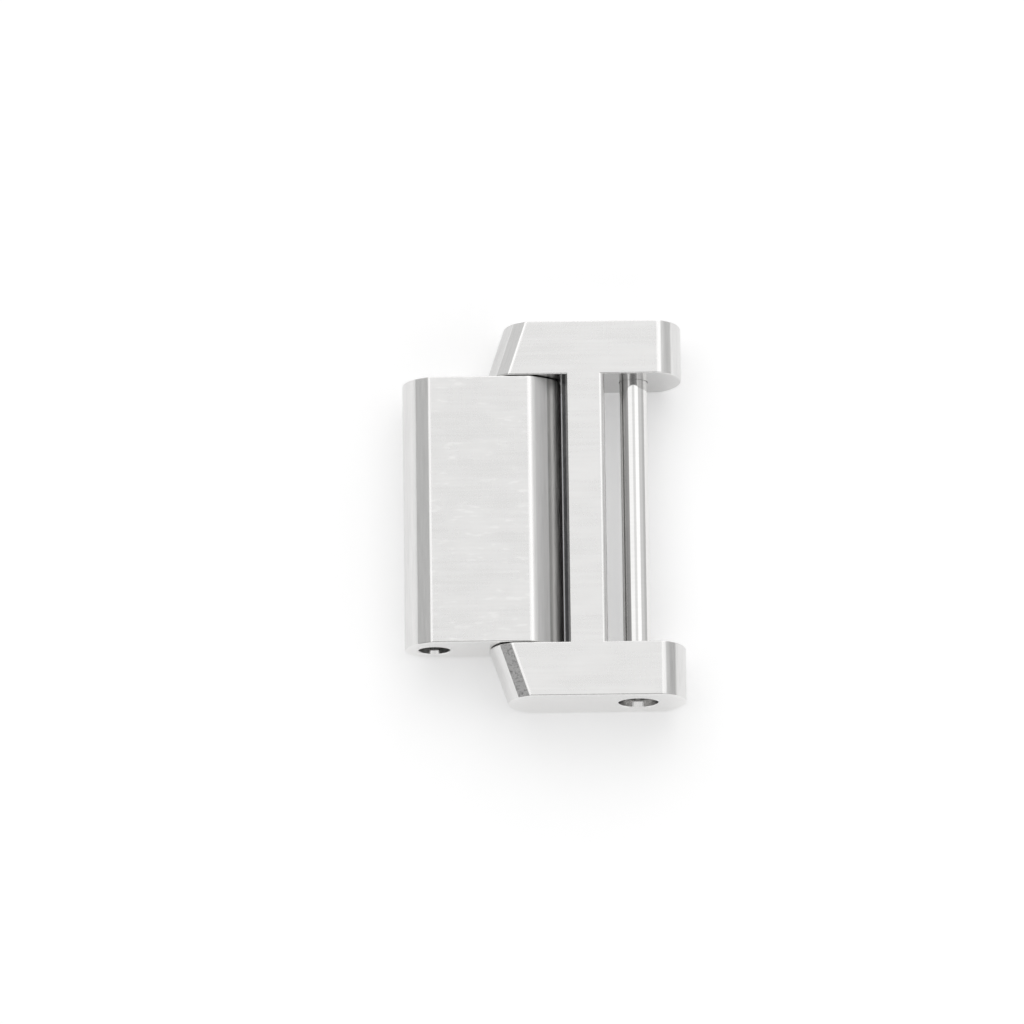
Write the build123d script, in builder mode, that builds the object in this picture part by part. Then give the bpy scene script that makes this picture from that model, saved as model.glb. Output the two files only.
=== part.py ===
from build123d import *
import math
import os

os.makedirs("parts", exist_ok=True)

# Frame: X runs along the bracelet, Y across it and Z up, in millimetres.
# The origin is under the middle of the link, on the plane that its underside lies on.

# Outer link: two arms joined by a web, one piece of steel
overall_width = 22.0
arm_width = 3.15
arm_thickness = 4.4
axis_height = 2.25
axis_pitch = 5.85
web_width = 2.4
web_shoulder = 0.3
web_bevel = 0.3
arm_foot_reach = 1.58
end_bevel_width = 0.55
slant_bevel_width = 0.64
arm_bevel_drop = 0.457
slant_angle = 18.5
slant_reach = 2.6
crown_radius = 0.8
left_crown_radius = 0.4
end_round = 1.0
crease_round = 0.12
foot_round = 0.3
edge_break = 0.08

# Centre link: a block with a bore at each end, hinged between the arms
centre_pitch = 5.7
centre_rise = 2.1
centre_drop = 1.65
centre_foot_reach = 0.41
hinge_bevel_angle = 56.0
hinge_bevel_width = 0.95
free_crown_reach = 0.12
free_bevel_width = 0.77
free_bevel_drop = 0.41
free_nose_reach = 1.68
free_nose_drop = 0.05
link_bore_radius = 0.9
bore_mouth = 0.06
side_gap = 0.04
web_gap = 0.06

# Screw bar: a sleeve with a slotted head, and the screw that closes its far end
bar_radius = 0.8
bar_hole_gap = 0.03
bar_head_radius = 1.08
head_seat_gap = 0.055
head_length = 0.95
head_recess = 0.65
head_chamfer = 0.08
seat_mouth = 0.06
slot_width = 0.34
slot_depth = 0.4
bar_end_gap = 0.12
screw_radius = 0.5
screw_length = 2.6
screw_hole_gap = 0.05
screw_hole_spare = 0.5

# Telescopic bar inside the hinge: a barrel, two sprung tips and their spring
barrel_radius = 0.84
barrel_wall = 0.14
barrel_inset = 0.4
mouth_length = 0.35
mouth_chamfer = 0.1
tip_radius = 0.55
tip_gap = 0.05
tip_reach = 1.0
tip_hole_spare = 0.2
piston_length = 1.0
piston_gap = 0.04
piston_stop_gap = 0.03
tip_chamfer = 0.12
spigot_radius = 0.3
spigot_length = 0.4
spring_wire_radius = 0.09
spring_coil_radius = 0.5
spring_turns = 14
spring_end_gap = 0.02

overrun = 1.0

# Sizes that follow from the ones above
outer_half = overall_width / 2
inner_half = outer_half - arm_width
arm_rise = arm_thickness - axis_height
arm_end_radius = math.hypot(arm_foot_reach, axis_height)
centre_half = inner_half - side_gap
centre_end_radius = math.hypot(centre_foot_reach, centre_drop)
slant = math.radians(slant_angle)

# Places along X: the whole link is centred on the origin
overall_length = free_nose_reach + centre_pitch + axis_pitch + arm_end_radius
x_free = free_nose_reach - overall_length / 2
x_hinge = x_free + centre_pitch
x_web = x_hinge + centre_end_radius + web_gap + web_width / 2
x_bar = x_hinge + axis_pitch


def on_arc(radius, degrees):
    """Point of a circle round the sketch's origin."""
    angle = math.radians(degrees)
    return (radius * math.cos(angle), radius * math.sin(angle))


def round_edge(edge, radius):
    """Whether an edge is a circle of this radius."""
    return edge.geom_type == GeomType.CIRCLE and math.isclose(edge.radius, radius)


def arm_outline(back, bevel_width, crown_round, foot_of_bevel_round):
    """Side view of an arm's end: flat top, bevel, round nose and flat underside.

    The nose is an arc round the pivot axis, which is the sketch's origin. The bevel and the
    roundings above and below it differ from end to end.
    """
    bevel_foot_rise = arm_rise - arm_bevel_drop
    bevel_foot = (math.sqrt(arm_end_radius**2 - bevel_foot_rise**2), bevel_foot_rise)
    crown = (bevel_foot[0] - bevel_width, arm_rise)
    foot = (arm_foot_reach, -axis_height)
    with BuildLine() as side_view:
        Polyline(foot, (-back, -axis_height), (-back, arm_rise), crown, bevel_foot)
        ThreePointArc(bevel_foot, (arm_end_radius, 0), foot)
    make_face(side_view.edges())
    fillet(vertices().sort_by_distance(Vector(*crown))[0], radius=crown_round)
    fillet(vertices().sort_by_distance(Vector(*bevel_foot))[0], radius=foot_of_bevel_round)
    fillet(vertices().sort_by_distance(Vector(*foot))[0], radius=foot_round)


# Outer link
# The near arm is what two prisms have in common: one square to the bracelet, whose nose
# is round the bar, and one turned by the slant, whose nose cuts the other end at an angle.
arm_plane = Plane(origin=(x_bar, -inner_half, axis_height), x_dir=(1, 0, 0), z_dir=(0, -1, 0))
slant_plane = Plane(
    origin=(
        x_hinge - slant_reach + arm_end_radius * math.cos(slant),
        -inner_half + arm_end_radius * math.sin(slant),
        axis_height,
    ),
    x_dir=(-math.cos(slant), -math.sin(slant), 0),
    z_dir=(-math.sin(slant), math.cos(slant), 0),
)
web_plane = Plane(origin=(x_web, 0, 0), x_dir=(1, 0, 0), z_dir=(0, -1, 0))
near_face = Plane(origin=(x_bar, -outer_half, axis_height), z_dir=(0, -1, 0))
far_face = Plane(origin=(x_bar, outer_half, axis_height), z_dir=(0, 1, 0))
near_wall = Plane(origin=(x_hinge, -inner_half, axis_height), z_dir=(0, 1, 0))
far_wall = Plane(origin=(x_hinge, inner_half, axis_height), z_dir=(0, -1, 0))
seat_radius = bar_head_radius + head_seat_gap
seat_depth = head_recess + head_length

with BuildPart() as outer_link:
    with BuildSketch(arm_plane):
        arm_outline(overall_length, end_bevel_width, crown_radius, end_round)
    extrude(amount=arm_width)
    with BuildSketch(slant_plane):
        arm_outline(overall_length, slant_bevel_width, left_crown_radius, crease_round)
    extrude(amount=2 * overall_width, both=True, mode=Mode.INTERSECT)
    fillet(outer_link.faces().filter_by(Axis.Y).edges(), radius=edge_break)
    with BuildSketch(web_plane):
        Rectangle(web_width, arm_thickness, align=(Align.CENTER, Align.MIN))
        fillet(vertices().group_by(Axis.X)[-1], radius=web_shoulder)
        chamfer(vertices().group_by(Axis.X)[0], length=web_bevel)
    extrude(amount=inner_half + arm_width / 2)
    mirror(about=Plane.XZ)
    with Locations(near_face.location, far_face.location):
        CounterBoreHole(
            radius=bar_radius + bar_hole_gap,
            counter_bore_radius=seat_radius,
            counter_bore_depth=seat_depth,
            depth=arm_width + overrun,
        )
    seat_rims = outer_link.edges().filter_by(lambda edge: round_edge(edge, seat_radius))
    seat_rims = seat_rims.sort_by(Axis.Y)
    chamfer([seat_rims[0], seat_rims[-1]], length=seat_mouth)
    with Locations(near_wall.location, far_wall.location):
        Hole(radius=tip_radius + tip_gap, depth=tip_reach + tip_hole_spare)

outer_link.part.label = "outer_link"
export_step(outer_link.part, "parts/outer_link.step")

# Centre link
# Its side view is drawn round the hinge axis. The hinge end's nose is an arc round that
# axis, which its bevel meets in tangent, and the free end's nose is a flatter arc above and
# a rounder one below.
centre_plane = Plane(origin=(x_hinge, 0, axis_height), x_dir=(1, 0, 0), z_dir=(0, -1, 0))
hinge_bevel_foot = on_arc(centre_end_radius, hinge_bevel_angle)
hinge_crown = (hinge_bevel_foot[0] - hinge_bevel_width, centre_rise)
hinge_foot = (centre_foot_reach, -centre_drop)
free_crown = (-centre_pitch - free_crown_reach, centre_rise)
free_bevel_foot = (free_crown[0] - free_bevel_width, centre_rise - free_bevel_drop)
free_nose = (-centre_pitch - free_nose_reach, -free_nose_drop)
free_foot = (-centre_pitch - centre_foot_reach, -centre_drop)

with BuildPart() as centre_link:
    with BuildSketch(centre_plane):
        with BuildLine():
            Polyline(hinge_bevel_foot, hinge_crown, free_crown, free_bevel_foot)
            TangentArc(free_nose, free_bevel_foot, tangent=(0, 1))
            TangentArc(free_nose, free_foot, tangent=(0, -1))
            Line(free_foot, hinge_foot)
            ThreePointArc(hinge_foot, (centre_end_radius, 0), hinge_bevel_foot)
        make_face()
        fillet(vertices().sort_by_distance(Vector(*hinge_crown))[0], radius=crown_radius)
        fillet(vertices().sort_by_distance(Vector(*free_crown))[0], radius=left_crown_radius)
        fillet(vertices().sort_by_distance(Vector(*free_bevel_foot))[0], radius=crease_round)
    extrude(amount=centre_half, both=True)
    fillet(centre_link.faces().filter_by(Axis.Y).edges(), radius=edge_break)
    with BuildSketch(centre_plane):
        with Locations((0, 0), (-centre_pitch, 0)):
            Circle(link_bore_radius)
    extrude(amount=centre_half + overrun, both=True, mode=Mode.SUBTRACT)
    bore_rims = centre_link.edges().filter_by(lambda edge: round_edge(edge, link_bore_radius))
    chamfer(bore_rims, length=bore_mouth)

centre_link.part.label = "centre_link"
export_step(centre_link.part, "parts/centre_link.step")


def turned(*points):
    """Face of a turned piece's half section: x is the radius and y runs along the bracelet's Y."""
    with BuildLine() as half_section:
        Polyline(*points, close=True)
    make_face(half_section.edges())


# Screw bar sleeve
# Its head sits in the near arm and its bored end stops just short of the screw's head.
bar_plane = Plane(origin=(x_bar, 0, axis_height), x_dir=(1, 0, 0), z_dir=(0, 0, 1))
bar_axis = Axis((x_bar, 0, axis_height), (0, 1, 0))
y_head = outer_half - head_recess
y_seat = outer_half - seat_depth
y_sleeve_end = y_seat - bar_end_gap
screw_hole_radius = screw_radius + screw_hole_gap
y_screw_hole = y_sleeve_end - screw_length - screw_hole_spare

with BuildPart() as bar_sleeve:
    with BuildSketch(bar_plane):
        turned(
            (0, -y_head),
            (bar_head_radius - head_chamfer, -y_head),
            (bar_head_radius, -y_head + head_chamfer),
            (bar_head_radius, -y_seat),
            (bar_radius, -y_seat),
            (bar_radius, y_sleeve_end - head_chamfer),
            (bar_radius - head_chamfer, y_sleeve_end),
            (screw_hole_radius, y_sleeve_end),
            (screw_hole_radius, y_screw_hole),
            (0, y_screw_hole - screw_hole_radius / 2),
        )
    revolve(axis=bar_axis)
    with BuildSketch(Plane(origin=(x_bar, -y_head, axis_height), z_dir=(0, -1, 0))):
        Rectangle(2 * bar_head_radius, slot_width)
    extrude(amount=-slot_depth, mode=Mode.SUBTRACT)

bar_sleeve.part.label = "bar_sleeve"
export_step(bar_sleeve.part, "parts/bar_sleeve.step")

# Screw that closes the bar from the far arm
with BuildPart() as bar_screw:
    with BuildSketch(bar_plane):
        turned(
            (0, y_head),
            (bar_head_radius - head_chamfer, y_head),
            (bar_head_radius, y_head - head_chamfer),
            (bar_head_radius, y_seat),
            (screw_radius, y_seat),
            (screw_radius, y_sleeve_end - screw_length + head_chamfer),
            (screw_radius - head_chamfer, y_sleeve_end - screw_length),
            (0, y_sleeve_end - screw_length),
        )
    revolve(axis=bar_axis)
    with BuildSketch(Plane(origin=(x_bar, y_head, axis_height), z_dir=(0, 1, 0))):
        Rectangle(2 * bar_head_radius, slot_width)
    extrude(amount=-slot_depth, mode=Mode.SUBTRACT)

bar_screw.part.label = "bar_screw"
export_step(bar_screw.part, "parts/bar_screw.step")

# Barrel of the hinge bar: a tube whose mouths are swaged in to keep the tips
hinge_plane = Plane(origin=(x_hinge, 0, axis_height), x_dir=(1, 0, 0), z_dir=(0, 0, 1))
hinge_axis = Axis((x_hinge, 0, axis_height), (0, 1, 0))
barrel_half = centre_half - barrel_inset
barrel_bore = barrel_radius - barrel_wall
mouth_radius = tip_radius + tip_gap
y_mouth = barrel_half - mouth_length

with BuildPart() as hinge_barrel:
    with BuildSketch(hinge_plane):
        turned(
            (barrel_bore, -y_mouth),
            (mouth_radius, -y_mouth),
            (mouth_radius, -barrel_half),
            (barrel_radius - mouth_chamfer, -barrel_half),
            (barrel_radius, -barrel_half + mouth_chamfer),
            (barrel_radius, barrel_half - mouth_chamfer),
            (barrel_radius - mouth_chamfer, barrel_half),
            (mouth_radius, barrel_half),
            (mouth_radius, y_mouth),
            (barrel_bore, y_mouth),
        )
    revolve(axis=hinge_axis)

hinge_barrel.part.label = "hinge_barrel"
export_step(hinge_barrel.part, "parts/hinge_barrel.step")

# Sprung tips: a piston inside the barrel, and a pivot that reaches into the arm's blind hole
piston_radius = barrel_bore - piston_gap
y_piston_front = y_mouth - piston_stop_gap
y_piston_back = y_piston_front - piston_length
y_tip = inner_half + tip_reach

for node, side in (("hinge_tip_near", -1), ("hinge_tip_far", 1)):
    with BuildPart() as hinge_tip:
        with BuildSketch(hinge_plane):
            turned(
                (0, side * (y_piston_back - spigot_length)),
                (spigot_radius, side * (y_piston_back - spigot_length)),
                (spigot_radius, side * y_piston_back),
                (piston_radius, side * y_piston_back),
                (piston_radius, side * y_piston_front),
                (tip_radius, side * y_piston_front),
                (tip_radius, side * (y_tip - tip_chamfer)),
                (tip_radius - tip_chamfer, side * y_tip),
                (0, side * y_tip),
            )
        revolve(axis=hinge_axis)
    hinge_tip.part.label = node
    export_step(hinge_tip.part, f"parts/{node}.step")

# Spring between the two pistons: one wire along a helix, made of arcs that meet in tangent
spring_half = y_piston_back - spring_end_gap - spring_wire_radius
spring_rise = 2 * spring_half / spring_turns


def coil_point(turn):
    """Point of the wire's centre line, counted in turns from its near end."""
    angle = 2 * math.pi * turn
    return Vector(
        x_hinge + spring_coil_radius * math.cos(angle),
        -spring_half + spring_rise * turn,
        axis_height + spring_coil_radius * math.sin(angle),
    )


def coil_direction(turn):
    """Unit tangent of the centre line at that place."""
    angle = 2 * math.pi * turn
    around = 2 * math.pi * spring_coil_radius
    return Vector(-around * math.sin(angle), spring_rise, around * math.cos(angle)).normalized()


def biarc_joint(start, start_way, end, end_way):
    """Point where two arcs with these end tangents meet smoothly."""
    span = end - start
    ways = start_way + end_way
    bend = 2 * (1 - start_way.dot(end_way))
    along = span.dot(ways)
    reach = (math.sqrt(along * along + bend * span.dot(span)) - along) / bend
    return (start + end + (start_way - end_way) * reach) / 2


with BuildPart() as hinge_spring:
    with BuildLine() as coil:
        for half_turn in range(2 * spring_turns):
            start = coil_point(half_turn / 2)
            start_way = coil_direction(half_turn / 2)
            end = coil_point((half_turn + 1) / 2)
            end_way = coil_direction((half_turn + 1) / 2)
            joint = biarc_joint(start, start_way, end, end_way)
            first = TangentArc(start, joint, tangent=start_way)
            TangentArc(joint, end, tangent=first % 1)
    with BuildSketch(Plane(origin=coil_point(0), z_dir=coil_direction(0))):
        Circle(spring_wire_radius)
    sweep(path=coil.wires()[0])

hinge_spring.part.label = "hinge_spring"
export_step(hinge_spring.part, "parts/hinge_spring.step")

wire_gap = spring_rise * math.cos(math.atan(spring_rise / (2 * math.pi * spring_coil_radius)))
print("overall length", round(overall_length, 3))
print("x_free, x_hinge, x_web, x_bar", [round(x, 4) for x in (x_free, x_hinge, x_web, x_bar)])
print("end radii", round(arm_end_radius, 4), round(centre_end_radius, 4))
print("least gap between the spring's turns", round(wire_gap - 2 * spring_wire_radius, 3))
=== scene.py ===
# %% [markdown]
# A link of a steel watch bracelet, lying on a white table.
# The real one is cut from solid bar: an H-shaped outer link, a block that hinges between
# its arms, and a screw bar that the next link turns on. All of it is bare metal, so there
# is no colour to copy. What a photograph shows of it is finish and reflection: fine
# brushing on the flats, a smoother satin on the bevels and a mirror on the bar.
# The shapes come from the imported model, and this file gives them those finishes, shows a
# copy of the hidden spring, adds the screw's thread, and sets up table, light and camera.

import math

import bpy
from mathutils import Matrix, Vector


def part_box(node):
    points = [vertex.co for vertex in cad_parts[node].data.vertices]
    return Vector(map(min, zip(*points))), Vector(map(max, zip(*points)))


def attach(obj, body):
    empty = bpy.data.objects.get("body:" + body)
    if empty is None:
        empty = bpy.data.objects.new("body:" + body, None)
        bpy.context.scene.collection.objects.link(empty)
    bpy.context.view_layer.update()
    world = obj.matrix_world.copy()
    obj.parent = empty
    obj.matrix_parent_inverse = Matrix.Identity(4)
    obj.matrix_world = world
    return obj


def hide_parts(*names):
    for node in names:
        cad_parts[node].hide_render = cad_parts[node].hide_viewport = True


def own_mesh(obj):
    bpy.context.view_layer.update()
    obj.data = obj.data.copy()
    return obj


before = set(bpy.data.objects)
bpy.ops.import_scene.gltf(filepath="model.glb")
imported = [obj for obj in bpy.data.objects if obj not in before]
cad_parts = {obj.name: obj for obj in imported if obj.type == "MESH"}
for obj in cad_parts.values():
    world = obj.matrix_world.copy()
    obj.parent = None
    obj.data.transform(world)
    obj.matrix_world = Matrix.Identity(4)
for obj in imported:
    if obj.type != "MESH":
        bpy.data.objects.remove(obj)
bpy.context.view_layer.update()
bpy.ops.object.select_all(action="DESELECT")

for node in sorted(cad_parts):
    lowest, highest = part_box(node)
    print(node, "reaches", [round(1000 * size, 2) for size in highest - lowest], "mm")

# %% [markdown]
# Everything is in metres, as Blender counts, but a link is thought of in millimetres.
# One factor keeps the numbers below readable. The places that the finishes and the
# thread need are read from the boxes of the pieces, so they stay right if the link
# is made in another size.

# %% Places on the link
MM = 0.001

_, outer_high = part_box("outer_link")
centre_low, centre_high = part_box("centre_link")
bar_low, bar_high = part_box("bar_sleeve")
barrel_low, barrel_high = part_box("hinge_barrel")
screw_low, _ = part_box("bar_screw")

top_height = outer_high.z
bar_axis = (bar_low + bar_high) / 2
hinge_axis = (barrel_low + barrel_high) / 2
print("top at", round(top_height / MM, 3), "mm, bar axis at x", round(bar_axis.x / MM, 3), "mm")

# %% [markdown]
# The photograph was taken with a long lens from almost straight above, so the near faces
# show only as thin strips. A long lens far away keeps the sides nearly parallel. The
# camera is placed by the point that it looks at, the direction it looks from and its
# distance, which is easier to reason about than three angles and a position.

# %% Camera
VIEW_TARGET = Vector((-1.80 * MM, -0.25 * MM, top_height))
VIEW_AZIMUTH = math.radians(-0.72)
VIEW_ELEVATION = math.radians(75.6)
VIEW_DISTANCE = 555 * MM
FRAME_WIDTH_AT_TARGET = 58.2 * MM
SENSOR_WIDTH = 36
NEAREST_SEEN = 10 * MM
FARTHEST_SEEN = 10000 * MM

backwards = Vector(
    (
        math.sin(VIEW_AZIMUTH) * math.cos(VIEW_ELEVATION),
        -math.cos(VIEW_AZIMUTH) * math.cos(VIEW_ELEVATION),
        math.sin(VIEW_ELEVATION),
    )
)
camera_data = bpy.data.cameras.new("Camera")
camera_data.sensor_width = SENSOR_WIDTH
camera_data.lens = SENSOR_WIDTH * VIEW_DISTANCE / FRAME_WIDTH_AT_TARGET
camera_data.clip_start = NEAREST_SEEN
camera_data.clip_end = FARTHEST_SEEN
camera = bpy.data.objects.new("Camera", camera_data)
bpy.context.scene.collection.objects.link(camera)
camera.location = VIEW_TARGET + backwards * VIEW_DISTANCE
camera.rotation_mode = "QUATERNION"
camera.rotation_quaternion = (-backwards).to_track_quat("-Z", "Y")
bpy.context.scene.camera = camera
bpy.context.scene.view_settings.view_transform = "Standard"
print("lens", round(camera_data.lens, 1), "mm")

# %% [markdown]
# Materials, the table and the light are all node trees. Written out node by node they
# are hard to read, so two small helpers come first. A Wire is the output of a node and
# can be added, taken away and multiplied like a number. A Tree adds any other kind of
# node with its settings and inputs in one line.


# %% Helpers for node trees
class Wire:
    """One value of a node tree, which can be used in sums."""

    def __init__(self, tree, socket):
        self.tree = tree
        self.socket = socket

    def work_out(self, operation, first, second=0.0):
        """The result of a Math node."""
        settings = {"operation": operation}
        return self.tree.add("ShaderNodeMath", settings, {0: first, 1: second})

    def __add__(self, other):
        return self.work_out("ADD", self, other)

    def __radd__(self, other):
        return self.work_out("ADD", other, self)

    def __sub__(self, other):
        return self.work_out("SUBTRACT", self, other)

    def __rsub__(self, other):
        return self.work_out("SUBTRACT", other, self)

    def __mul__(self, other):
        return self.work_out("MULTIPLY", self, other)

    def __rmul__(self, other):
        return self.work_out("MULTIPLY", other, self)

    def __truediv__(self, other):
        return self.work_out("DIVIDE", self, other)

    def absolute(self):
        return self.work_out("ABSOLUTE", self)

    def step_up(self, low, high):
        """0 below low, 1 above high and a smooth rise between them."""
        ends = {"Value": self, "From Min": low, "From Max": high}
        return self.tree.add("ShaderNodeMapRange", {"interpolation_type": "SMOOTHSTEP"}, ends)

    def band(self, rise, fall):
        """1 between two soft edges, each given as the pair of values where it starts and ends."""
        return self.step_up(*rise) - self.step_up(*fall)


class Tree:
    """A node tree that is filled one line at a time."""

    def __init__(self, owner):
        owner.use_nodes = True
        self.nodes = owner.node_tree.nodes
        self.links = owner.node_tree.links
        self.nodes.clear()

    def add(self, kind, settings=None, inputs=None, output=0):
        """Adds a node, sets it up, fills its sockets and gives one of its outputs."""
        node = self.nodes.new(kind)
        for name, value in (settings or {}).items():
            setattr(node, name, value)
        for name, value in (inputs or {}).items():
            if isinstance(value, Wire):
                self.links.new(value.socket, node.inputs[name])
            else:
                node.inputs[name].default_value = value
        return Wire(self, node.outputs[output]) if node.outputs else None

    def parts_of(self, vector):
        """The three numbers of a vector, as three wires."""
        first = self.add("ShaderNodeSeparateXYZ", inputs={"Vector": vector})
        return [Wire(self, socket) for socket in first.socket.node.outputs]


# %% [markdown]
# Polished metal shows its surroundings, so the light is the most important finish here.
# The world is painted, and every point of it is a direction. Two numbers tell most about
# a direction: how far it leans from straight up towards the left or the right, and how
# far it points to the near or the far side. The room itself is an even pale grey.

# %% Studio light
WHITE = (1, 1, 1, 1)
ROOM = 0.8

scene_world = bpy.data.worlds.new("Studio")
bpy.context.scene.world = scene_world
world = Tree(scene_world)
direction = world.add("ShaderNodeTexCoord", output="Generated")
to_right, to_far, to_top = world.parts_of(direction)
lean = to_right.work_out("ARCTAN2", to_right, to_top)


def strip(edges, softness):
    """1 where the lean is between two edges in degrees, and 0 outside them."""
    rise, fall = [
        (math.radians(edge - softness), math.radians(edge + softness)) for edge in edges
    ]
    return lean.band(rise, fall)


print("world has a room of brightness", ROOM)

# %% [markdown]
# The photograph tells how it was lit: the round bar shows two white bands with a thin
# grey line between them, a dark band on its left and a pale grey one on its right. That
# is two long soft boxes overhead with a slit between them for the camera, a dark wall on
# the left and a pale one on the right. The dark wall pales towards the far side, and the
# pale one darkens towards its foot. None of them reaches to the near or the far horizon.

# %% Soft boxes and walls
LEFT_BOX = 1.1
RIGHT_BOX = 1.2
SLIT = 0.83
LEFT_BOX_EDGES = (-46, -13)
RIGHT_BOX_EDGES = (7.5, 37)
SLIT_EDGES = (LEFT_BOX_EDGES[1], RIGHT_BOX_EDGES[0])
BOX_SOFTNESS = 1.5

LEFT_WALL_NEAR = 0.37
LEFT_WALL_FAR = 0.54
RIGHT_WALL = 0.7
RIGHT_WALL_FOOT = 0.55
LEFT_WALL_EDGES = (-110, -48)
RIGHT_WALL_EDGES = (40, 110)
WALL_SOFTNESS = 3
LEFT_WALL_PALES = (-0.08, 0.42)
RIGHT_WALL_DARKENS = (math.radians(60), math.radians(72))
WALLS_END = (0.75, 0.9)

paling = to_far.step_up(*LEFT_WALL_PALES)
foot = lean.step_up(*RIGHT_WALL_DARKENS)
left_wall = LEFT_WALL_NEAR + paling * (LEFT_WALL_FAR - LEFT_WALL_NEAR)
right_wall = RIGHT_WALL - foot * (RIGHT_WALL - RIGHT_WALL_FOOT)
walls = strip(LEFT_WALL_EDGES, WALL_SOFTNESS) * (left_wall - ROOM)
walls = walls + strip(RIGHT_WALL_EDGES, WALL_SOFTNESS) * (right_wall - ROOM)
overhead = strip(LEFT_BOX_EDGES, BOX_SOFTNESS) * (LEFT_BOX - ROOM)
overhead = overhead + strip(RIGHT_BOX_EDGES, BOX_SOFTNESS) * (RIGHT_BOX - ROOM)
overhead = overhead + strip(SLIT_EDGES, BOX_SOFTNESS) * (SLIT - ROOM)
middle = 1 - to_far.absolute().step_up(*WALLS_END)
print("soft boxes from", LEFT_BOX_EDGES, "and", RIGHT_BOX_EDGES, "degrees")

# %% [markdown]
# In front of the link lies a soft shadow, and behind it there is hardly one. So most of
# the light comes from the far side, and little from where the photographer stands. A dark
# patch behind the camera and a brighter far side give that. The patch ends below and to
# both sides, so that the tops are still bright when they are seen from behind.

# %% Near and far side of the room
FRONT_SHADE = 0.85
FAR_GAIN = 0.4
PATCH_TOP = (0.05, 0.28)
PATCH_FOOT = (0.55, 0.68)
PATCH_SIDES = (0.35, 0.65)
FAR_SIDE = (0.3, 0.7)

to_near = 0 - to_far
behind_camera = to_near.band(PATCH_TOP, PATCH_FOOT)
behind_camera = behind_camera * (1 - to_right.absolute().step_up(*PATCH_SIDES))
shade = 1 - behind_camera * FRONT_SHADE
gain = 1 + to_far.step_up(*FAR_SIDE) * FAR_GAIN
brightness = (ROOM + (walls + overhead) * middle) * shade * gain
print("far side is brighter by", FAR_GAIN, "and the near patch darker by", FRONT_SHADE)

# %% [markdown]
# The camera itself sees plain white where there is no table. Only the picture's edge could
# show it, but the light on the object must not change with it, so the white is given to
# camera rays alone.

# %% White room for the camera
seen_by_camera = world.add("ShaderNodeLightPath", output="Is Camera Ray")
backdrop = brightness + seen_by_camera * (1 - brightness)
background = world.add("ShaderNodeBackground", inputs={"Color": WHITE, "Strength": backdrop})
world.add("ShaderNodeOutputWorld", inputs={"Surface": background})
print("world painted with", len(world.nodes), "nodes")

# %% [markdown]
# The table is plain white paper. Lit only by the soft boxes it would come out a light
# grey, so its material glows a little for the camera, and less in the steel, where the
# photograph shows it as a light grey. The glow lights nothing, and the shadow under the
# link stays.

# %% Table
TABLE_SIZE = 1600 * MM
TABLE_COLOUR = (0.84, 0.84, 0.84, 1)
TABLE_GLOW = 0.325
TABLE_GLOW_IN_STEEL = 0.3

bpy.ops.mesh.primitive_plane_add(size=TABLE_SIZE, location=(0, 0, 0))
table = bpy.context.object
table.name = "table"
paper = bpy.data.materials.new("white_paper")
tree = Tree(paper)
camera_ray = tree.add("ShaderNodeLightPath", output="Is Camera Ray")
glossy_ray = tree.add("ShaderNodeLightPath", output="Is Glossy Ray")
glow_seen = camera_ray * TABLE_GLOW + glossy_ray * TABLE_GLOW_IN_STEEL
glow = tree.add("ShaderNodeEmission", inputs={"Color": WHITE, "Strength": glow_seen})
matt = tree.add("ShaderNodeBsdfDiffuse", inputs={"Color": TABLE_COLOUR})
both = tree.add("ShaderNodeAddShader", inputs={0: matt, 1: glow})
tree.add("ShaderNodeOutputMaterial", inputs={"Surface": both})
table.data.materials.append(paper)
print("table is", round(TABLE_SIZE, 2), "m wide")

# %% [markdown]
# Every piece is steel, and what differs is how it was finished. So one kind of tree serves
# them all: it knows the place and the direction of each point of the piece, makes grain
# from stretched noise, and ends in a metal whose colour runs from dark to bright steel.
# Sizes of the grain are given in millimetres along the bracelet, across it and upwards.


# %% Steel
BRIGHT_STEEL = (0.885, 0.88, 0.872, 1)
DARK_STEEL = (0.06, 0.06, 0.063, 1)
END_FACING = (0.3, 0.6)


class Steel(Tree):
    """A bare steel surface, described by where a point is and which way it faces."""

    def __init__(self, name):
        self.material = bpy.data.materials.new(name)
        super().__init__(self.material)
        place = self.add("ShaderNodeTexCoord", output="Object")
        facing = self.add("ShaderNodeTexCoord", output="Normal")
        self.x, self.y, self.z = self.parts_of(place)
        self.right, self.far, self.up = self.parts_of(facing)
        self.left = 0 - self.right
        self.near = 0 - self.far

    def grain(self, along, across, upwards, detail=2.0, place=None):
        """Noise round 0, from about -0.5 to 0.5, whose spots have these sizes in mm."""
        x, y, z = place or (self.x, self.y, self.z)
        spots = {
            "X": x / (along * MM),
            "Y": y / (across * MM),
            "Z": z / (upwards * MM),
        }
        where = self.add("ShaderNodeCombineXYZ", inputs=spots)
        settings = {"Vector": where, "Scale": 1.0, "Detail": detail}
        return self.add("ShaderNodeTexNoise", inputs=settings) - 0.5

    def not_an_end(self):
        """1 where the surface faces neither to the near nor to the far side."""
        return 1 - self.far.absolute().step_up(*END_FACING)

    def metal(self, brightness, roughness, height, depth, normal=None):
        """Ends the tree in steel; height times depth, in mm, roughens the surface itself."""
        between = {0: brightness, 6: DARK_STEEL, 7: BRIGHT_STEEL}
        colour = self.add("ShaderNodeMix", {"data_type": "RGBA"}, between, output=2)
        relief = {"Height": height, "Distance": depth * MM}
        if normal:
            relief["Normal"] = normal
        bumped = self.add("ShaderNodeBump", inputs=relief)
        looks = {"Base Color": colour, "Metallic": 1.0, "Roughness": roughness, "Normal": bumped}
        shader = self.add("ShaderNodeBsdfPrincipled", inputs=looks)
        self.add("ShaderNodeOutputMaterial", inputs={"Surface": shader})
        return self.material


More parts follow.
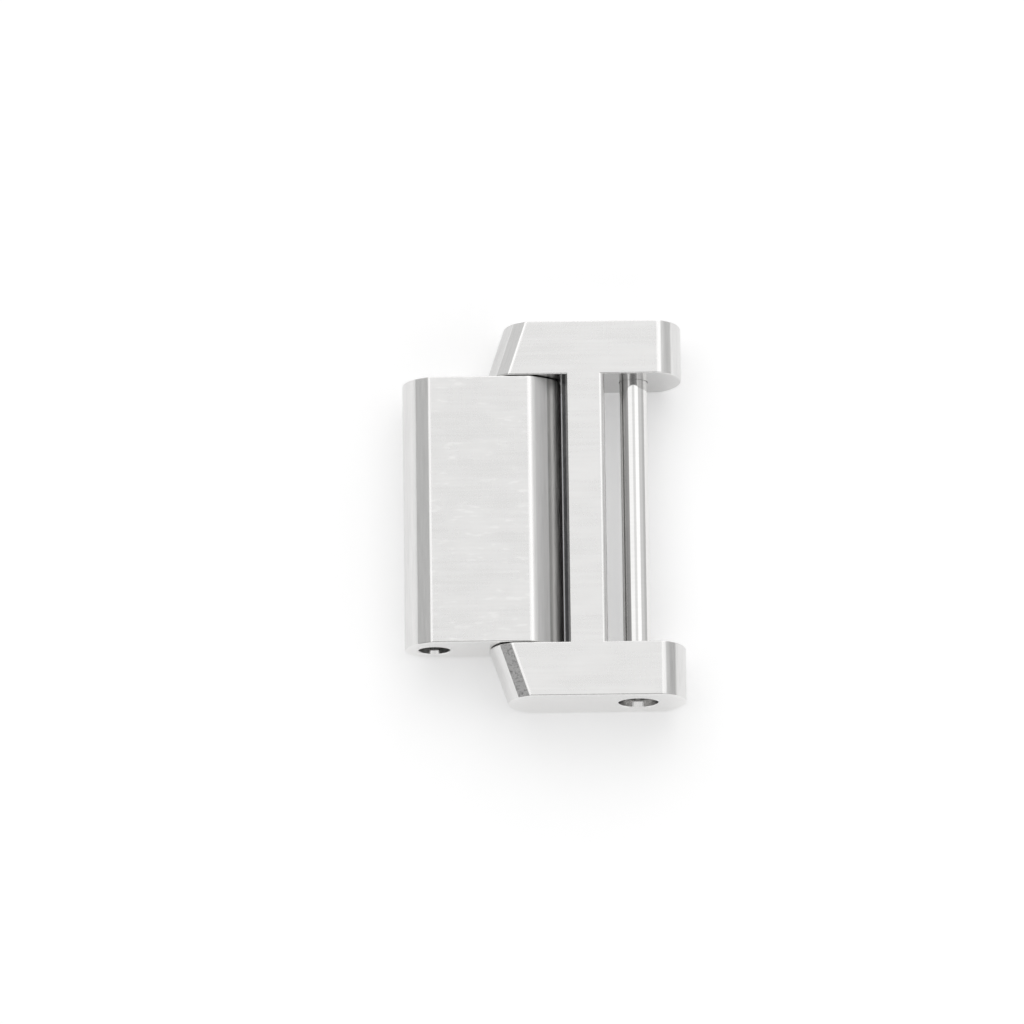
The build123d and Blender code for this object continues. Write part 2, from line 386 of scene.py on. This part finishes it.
def paint(node, material):
    """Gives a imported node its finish."""
    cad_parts[node].data.materials[0] = material
    print(node, "is finished as", material.name)


# %% [markdown]
# The holes run across the bracelet and were reamed. In the photograph each is dark, with a
# bright tongue on its floor near the mouth: the rings that a reamer leaves lean a little
# towards the mouth and throw light out of it. Rings that fine are no shape to model, so
# the surface's own direction is tilted outwards by them, only where light reaches in.


# %% Reamed holes
WALL_EDGE = 0.005 * MM
MOUTH_EDGE = 0.05 * MM
RING_WIDTH = 0.012
RING_REACH = 40.0
RING_TILT = 1.6
SIDE_OF_FLOOR = (0.14, 0.34)


def inside_hole(steel, axis, radius):
    """1 within this radius of an axis that lies across the bracelet, 0 outside it."""
    aside = steel.x - axis.x
    above = steel.z - axis.z
    distance = aside.work_out("SQRT", aside * aside + above * above)
    return 1 - distance.step_up(radius - WALL_EDGE, radius + WALL_EDGE)


def near_mouth(steel, hole, mouth, lit_depth):
    """The part of a hole's wall that faces up and lies within this depth of the mouth."""
    depth = mouth - steel.y.absolute()
    lit = 1 - depth.step_up(lit_depth - MOUTH_EDGE, lit_depth + MOUTH_EDGE)
    return hole * lit * (1 - steel.right.absolute().step_up(*SIDE_OF_FLOOR))


def reamed(steel, hole):
    """The surface's own direction, tilted towards the hole's mouth by the rings."""
    rings = (steel.grain(RING_REACH, RING_WIDTH, RING_REACH) + 0.5) * hole * RING_TILT
    outwards = steel.far + rings * steel.y.work_out("SIGN", steel.y)
    tilted = steel.add("ShaderNodeCombineXYZ", inputs={0: steel.right, 1: outwards, 2: steel.up})
    turn = {"vector_type": "NORMAL", "convert_from": "OBJECT", "convert_to": "WORLD"}
    return steel.add("ShaderNodeVectorTransform", turn, {"Vector": tilted})


print("reaming rings are", RING_WIDTH, "mm wide")

# %% [markdown]
# The tops of both links are brushed along the bracelet: fine hairlines, each a few
# millimetres long, over a cloudy ground where the brush pressed harder or softer. The
# bevels and the rounded ends are satin, with a finer grain along their own length. Which
# finish a point has is told by the way it faces, so no piece needs to be cut up for it.
# Each kind of mark has a size along the bracelet, across it and upwards, and a share in
# the steel's brightness or in its roughness.


# %% Brushed tops and satin bevels
NEW_STEEL = 0.97
SATIN_ROUGHNESS = 0.2
SATIN_RELIEF = 0.0012
BRUSHED_ROUGHNESS = 0.08
TOP_FACING = (0.985, 0.999)
SHORT_HAIRS = (4.0, 0.16, 0.16)
LONG_HAIRS = (9.0, 0.3, 0.3)
LONG_HAIR_SHARE = 0.6
CLOUD_SIZE = (2.5, 1.2, 1.2)


def brushed_top(steel):
    """1 on the flats above and below, 0 on all that leans."""
    return steel.up.absolute().step_up(*TOP_FACING)


def hairlines(steel):
    """Brush marks along the bracelet."""
    short_hairs = steel.grain(*SHORT_HAIRS, detail=1.0)
    return short_hairs + steel.grain(*LONG_HAIRS, detail=1.0) * LONG_HAIR_SHARE


def clouds(steel):
    """Slow changes in how hard the brush pressed."""
    return steel.grain(*CLOUD_SIZE)


def brushed_brightness(flat, marks, cloud, end_grain, dimming):
    """Brightness of brushed flats, dimmed a little, and of satin sides."""
    top = marks * 0.06 + cloud * 0.1 - dimming
    return NEW_STEEL + flat * top + (1 - flat) * end_grain * 0.2


def brushed_roughness(flat, marks, cloud, end_grain, cloud_share):
    """Roughness of brushed flats and of satin sides."""
    top = BRUSHED_ROUGHNESS + marks * 0.03 + cloud * cloud_share
    return SATIN_ROUGHNESS + flat * top + end_grain * 0.05


print("new steel has brightness", NEW_STEEL, "and a satin roughness of", SATIN_ROUGHNESS)

# %% [markdown]
# The outer link's left ends are cut at a slant, one to each side, and their satin grain
# follows that cut. So the grain is laid in a turned pair of directions, and the distance
# from the middle of the bracelet counts instead of the place, which mirrors it. The near
# arm's left bevel is scuffed on the real link, as if it had rubbed on another one.

# %% Grain of the outer link
SLANT = math.radians(18.5)
INNER_HALF = centre_high.y + 0.05 * MM
INNER_EDGE = 0.02 * MM
OUTER_GRAIN = (0.12, 1.5, 0.12)
SCUFF_SIZE = (0.17, 0.17, 0.17)
BEVEL_FACING = ((0.7, 0.76), (0.83, 0.88))

steel = Steel("brushed_outer_steel")
from_middle = steel.y.absolute()
across_slant = steel.x * math.cos(SLANT) - from_middle * math.sin(SLANT)
along_slant = steel.x * math.sin(SLANT) + from_middle * math.cos(SLANT)
slanted = (across_slant, along_slant, steel.z)

left_end = 1 - steel.x.step_up(hinge_axis.x, bar_axis.x)
near_arm = 1 - steel.y.step_up(-INNER_HALF, INNER_HALF)
inside = 1 - from_middle.step_up(INNER_HALF - INNER_EDGE, INNER_HALF + INNER_EDGE)
end_grain = steel.grain(*OUTER_GRAIN, detail=3.0, place=slanted) * left_end
end_grain = end_grain + steel.grain(*OUTER_GRAIN, detail=3.0) * (1 - left_end)
on_bevel = steel.up.band(*BEVEL_FACING)
scuffs = steel.grain(*SCUFF_SIZE) * left_end * near_arm * on_bevel * (1 - inside)
print("arms start", round(INNER_HALF / MM, 2), "mm from the middle")

# %% [markdown]
# Parts of the outer link are painted darker, as painted shade for the darker surroundings
# that they reflect. The rounded noses at the left end and on the far arm and the near arm's
# right bevel are darkened a little. The web's bevelled left edge lies in the gap beside the
# centre link and gets painted shade there, darkest at its foot. The web's right wall and the
# far arm's inner wall are painted a darker grey than the tops, as shade in the slot. Each of
# these places is a mask of its own, made from where the point is and which way it faces.

# %% Painted shade and hole seats of the outer link
SEAT_REACH = 1.17 * MM
SEAT_LIT_DEPTH = 0.38 * MM
EDGE_FOOT = top_height - 0.15 * MM
EDGE_TOP = top_height - 0.08 * MM
EDGE_FACING = ((0.25, 0.6), (0.75, 0.95))
NOSE_FACING = (0.6, 0.9)
WALL_FACING = (0.5, 0.9)
LEFT_END_NOSE_SHADE = 0.12
FAR_ARM_NOSE_SHADE = 0.14

flat = brushed_top(steel)
noses = steel.right.absolute().step_up(*NOSE_FACING) * (1 - inside)
shaded_noses = noses * (left_end * LEFT_END_NOSE_SHADE + (1 - near_arm) * FAR_ARM_NOSE_SHADE)
far_arm_wall = inside * steel.near.step_up(*WALL_FACING)
left_edge_of_web = inside * steel.left.band(*EDGE_FACING)
foot_of_edge = 1 - steel.z.step_up(EDGE_FOOT, EDGE_TOP)
right_wall_of_web = inside * steel.right.step_up(*WALL_FACING)
near_right_bevel = near_arm * (1 - left_end) * (1 - flat) * steel.not_an_end()
seats = inside_hole(steel, bar_axis, SEAT_REACH) * (1 - inside) * steel.not_an_end()
seat_floors = near_mouth(steel, seats, outer_high.y, SEAT_LIT_DEPTH)
print("web's edge darkens below", round(EDGE_TOP / MM, 2), "mm")

# %% [markdown]
# The masks are then added up, each with its share of the steel's brightness. Brushing
# changes the brightness a little and the roughness more, and scuffs change the surface.

# %% Outer link finish
WEB_EDGE_SHADE = 0.66
WEB_EDGE_FOOT_SHADE = 0.28
WEB_WALL_SHADE = 0.35
ARM_WALL_SHADE = 0.25
NEAR_BEVEL_SHADE = 0.14

marks = hairlines(steel)
cloud = clouds(steel)
brightness = brushed_brightness(flat, marks, cloud, end_grain, dimming=0.015)
# Scuffs are wear; the rest taken off here is painted shade on the noses, the web's left edge and
# its foot, the web's right wall, the far arm's inner wall and the near arm's right bevel.
brightness = brightness + (1 - flat) * scuffs * 1.8 - shaded_noses
brightness = brightness - left_edge_of_web * (WEB_EDGE_SHADE + foot_of_edge * WEB_EDGE_FOOT_SHADE)
brightness = brightness - right_wall_of_web * WEB_WALL_SHADE - far_arm_wall * ARM_WALL_SHADE
brightness = brightness - near_right_bevel * NEAR_BEVEL_SHADE
roughness = brushed_roughness(flat, marks, cloud, end_grain, cloud_share=0.04)
roughness = roughness + scuffs * 0.1
height = (1 - flat) * (end_grain * 0.3 + scuffs * 4.0)
rings_in_seats = reamed(steel, seat_floors)
paint("outer_link", steel.metal(brightness, roughness, height, SATIN_RELIEF, rings_in_seats))

# %% [markdown]
# The centre link is brushed in the same way. Its top has been touched more, so bright
# streaks lie over the hairlines, in patches where the ground is bright too. Behind its
# right bevel the steel turns down towards the web, into a gap, and there it is rougher and
# gets painted shade, with a darker painted crease where the bevel ends. Its left nose is
# painted a little darker than its top, and its two bores get a little painted shade inside,
# but not on their floors near the mouths.

# %% Painted shade and bores of the centre link
BORE_REACH = 0.93 * MM
BORE_LIT_DEPTH = 0.26 * MM
FREE_END_TO_BORE = 1.68 * MM
CREASE_RISE = (0.86 * MM, 0.93 * MM)
CREASE_FALL = (1.0 * MM, 1.2 * MM)
GAP_SIDE = (1.06 * MM, 1.5 * MM)

steel = Steel("brushed_centre_steel")
free_axis = Vector((centre_low.x + FREE_END_TO_BORE, 0, hinge_axis.z))
past_hinge = steel.x - hinge_axis.x
gap_side = past_hinge.step_up(*GAP_SIDE)
crease = past_hinge.band(CREASE_RISE, CREASE_FALL)
bores = inside_hole(steel, free_axis, BORE_REACH) + inside_hole(steel, hinge_axis, BORE_REACH)
bores = bores * steel.not_an_end()
bore_floors = near_mouth(steel, bores, centre_high.y, BORE_LIT_DEPTH)
left_nose = steel.left.step_up(*NOSE_FACING) * (1 - bores)
print("free end's bore is at x", round(free_axis.x / MM, 2), "mm")

# %% [markdown]
# These are added up in the same way. The right side is a little rougher than the left.

# %% Centre link finish
CENTRE_GRAIN = (0.12, 2.0, 0.12)
STREAK_SIZE = (0.8, 0.2, 0.2)
STREAK_RISE = (0.04, 0.24)
STREAKY_CLOUDS = (-0.08, 0.1)
RIGHT_FACING = (0.15, 0.4)
GAP_SHADE = 0.5
CREASE_SHADE = 0.5
BORE_SHADE = 0.1
CENTRE_NOSE_SHADE = 0.13

flat = brushed_top(steel)
marks = hairlines(steel)
cloud = clouds(steel)
streaks = steel.grain(*STREAK_SIZE).step_up(*STREAK_RISE) * cloud.step_up(*STREAKY_CLOUDS)
end_grain = steel.grain(*CENTRE_GRAIN, detail=3.0)
right_side = steel.right.step_up(*RIGHT_FACING)
brightness = brushed_brightness(flat, marks, cloud, end_grain, dimming=0.035)
# The streaks are wear; what is taken off here is painted shade in the gap behind the right bevel,
# in its crease, on the left nose and inside the bores.
brightness = brightness + flat * streaks * 0.07 - gap_side * (GAP_SHADE - end_grain * 0.8)
brightness = brightness - crease * CREASE_SHADE - left_nose * CENTRE_NOSE_SHADE
brightness = brightness - (bores - bore_floors) * BORE_SHADE
roughness = brushed_roughness(flat, marks, cloud, end_grain, cloud_share=0.05)
roughness = roughness + flat * streaks * 0.06 + (gap_side + right_side) * 0.12
height = (1 - flat) * end_grain * 0.3
rings_in_bores = reamed(steel, bore_floors)
paint("centre_link", steel.metal(brightness, roughness, height, SATIN_RELIEF, rings_in_bores))

# %% [markdown]
# The screw bar is polished, since the next link turns on it. Polishing on a lathe leaves
# the faintest rings round it, so its grain is very short along the bar and long around.
# The hidden barrel and its tips are only turned, so their rings are stronger and duller.


# %% Bar, barrel and tips
FINE_RELIEF = 0.0004
RING_SIZE = (6.0, 0.07, 6.0)
WEAR_SIZE = (0.8, 1.2, 0.8)


def turned_finish(name, node_names, base_brightness, base_roughness, ring_strength):
    """Steel with turning rings, for pieces that lie across the bracelet."""
    steel = Steel(name)
    rings = steel.grain(*RING_SIZE, detail=3.0)
    wear = steel.grain(*WEAR_SIZE)
    brightness = base_brightness + rings * ring_strength + wear * 0.04
    roughness = base_roughness + rings * ring_strength * 0.3 + wear * 0.02
    finish = steel.metal(brightness, roughness, rings, FINE_RELIEF)
    for node in node_names:
        paint(node, finish)
    return finish


polished_steel = turned_finish(
    "polished_bar_steel",
    ["bar_sleeve", "bar_screw"],
    base_brightness=0.95,
    base_roughness=0.07,
    ring_strength=0.08,
)
turned_finish(
    "turned_hinge_steel",
    ["hinge_barrel", "hinge_tip_near", "hinge_tip_far"],
    base_brightness=0.8,
    base_roughness=0.26,
    ring_strength=0.3,
)

# %% [markdown]
# The spring is drawn wire. Drawing pulls long scratches along the wire, but on a wire
# this thin they only show as a dull, slightly uneven grey.

# %% Spring
WIRE_BRIGHTNESS = 0.7
WIRE_ROUGHNESS = 0.34
WIRE_GRAIN = (0.1, 0.1, 0.1)

steel = Steel("spring_wire")
dullness = steel.grain(*WIRE_GRAIN, detail=3.0)
brightness = WIRE_BRIGHTNESS + dullness * 0.3
roughness = WIRE_ROUGHNESS + dullness * 0.1
spring_wire = steel.metal(brightness, roughness, dullness, FINE_RELIEF)
paint("hinge_spring", spring_wire)

# %% [markdown]
# The spring has to shorten when the tips are pressed into the barrel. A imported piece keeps
# its shape, so a copy of the spring is shown in its place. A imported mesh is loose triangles,
# so the copy's corners are merged first.

# %% Copy of the spring
MERGE_DISTANCE = 0.001 * MM
SMOOTH_ANGLE = math.radians(40)

packed_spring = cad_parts["hinge_spring"]
coil = bpy.data.objects.new("coil_spring", packed_spring.data.copy())
bpy.context.scene.collection.objects.link(coil)
bpy.context.view_layer.objects.active = coil
coil.select_set(True)
loose_corners = len(coil.data.vertices)
bpy.ops.object.mode_set(mode="EDIT")
bpy.ops.mesh.select_all(action="SELECT")
bpy.ops.mesh.remove_doubles(threshold=MERGE_DISTANCE)
bpy.ops.object.mode_set(mode="OBJECT")
bpy.ops.object.shade_smooth_by_angle(angle=SMOOTH_ANGLE)
print("spring's copy had", loose_corners, "corners and has", len(coil.data.vertices))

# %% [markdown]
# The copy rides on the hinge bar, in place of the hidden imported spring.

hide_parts("hinge_spring")
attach(coil, "hinge_bar")
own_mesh(coil)

# %% [markdown]
# The screw needs its thread. A ridge like that is one small triangle carried round and
# along the shank, so the triangle is drawn once, with its point away from the axis, and a
# Screw modifier does the rest. It stays inside the hole of the sleeve, and it sinks a
# little into the shank so that no light passes under it.

# %% Section of the thread
THREAD_PITCH = 0.3 * MM
THREAD_ROOT = 0.49 * MM
THREAD_CREST = 0.54 * MM
THREAD_FOOT = 0.225 * MM
TRIANGLE_HEIGHT = 1.5
TRIANGLE_WIDTH = math.sqrt(3)
QUARTER = math.pi / 2

bpy.ops.object.select_all(action="DESELECT")
bpy.ops.mesh.primitive_circle_add(
    vertices=3, radius=1, fill_type="NOTHING", rotation=(QUARTER, QUARTER, 0)
)
thread = bpy.context.object
thread.name = "screw_thread"
bpy.ops.object.transform_apply(rotation=True)

ridge = (THREAD_CREST - THREAD_ROOT) / TRIANGLE_HEIGHT
thread.scale = (ridge, 1, THREAD_FOOT / TRIANGLE_WIDTH)
thread.location.x = THREAD_ROOT + ridge / 2
bpy.ops.object.transform_apply(location=True, scale=True)
reaches = [corner.co.x / MM for corner in thread.data.vertices]
print("section from", round(min(reaches), 3), "to", round(max(reaches), 3), "mm from the axis")

# %% [markdown]
# The modifier turns the section round the Z axis and lifts it by one pitch in each turn.
# That leaves the two ends of the ridge open, and they are closed with a face each.

# %% Winding of the thread
THREAD_TURNS = 7
STEPS_PER_TURN = 28

winding = thread.modifiers.new("winding", "SCREW")
winding.axis = "Z"
winding.iterations = THREAD_TURNS
winding.screw_offset = THREAD_PITCH
winding.steps = STEPS_PER_TURN
winding.render_steps = STEPS_PER_TURN
bpy.ops.object.modifier_apply(modifier=winding.name)

bpy.ops.object.mode_set(mode="EDIT")
bpy.ops.mesh.select_all(action="SELECT")
bpy.ops.mesh.fill_holes(sides=3)
bpy.ops.mesh.select_all(action="SELECT")
bpy.ops.mesh.normals_make_consistent(inside=False)
bpy.ops.object.mode_set(mode="OBJECT")
bpy.ops.object.shade_smooth_by_angle(angle=SMOOTH_ANGLE)
print("thread has", len(thread.data.polygons), "faces")

# %% [markdown]
# The thread was wound upwards, and the screw lies across the bracelet. It is turned down
# onto the screw's axis, and it moves with the screw when that is turned out.

# %% Thread on the screw
THREAD_INSET = 0.24 * MM

thread.rotation_euler = (-QUARTER, 0, 0)
thread.location = (bar_axis.x, screw_low.y + THREAD_INSET, bar_axis.z)
bpy.ops.object.transform_apply(location=True, rotation=True, scale=True)
thread.data.materials.append(polished_steel)
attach(thread, "screw")
print("thread ends at y", round(max(corner.co.y for corner in thread.data.vertices) / MM, 2), "mm")
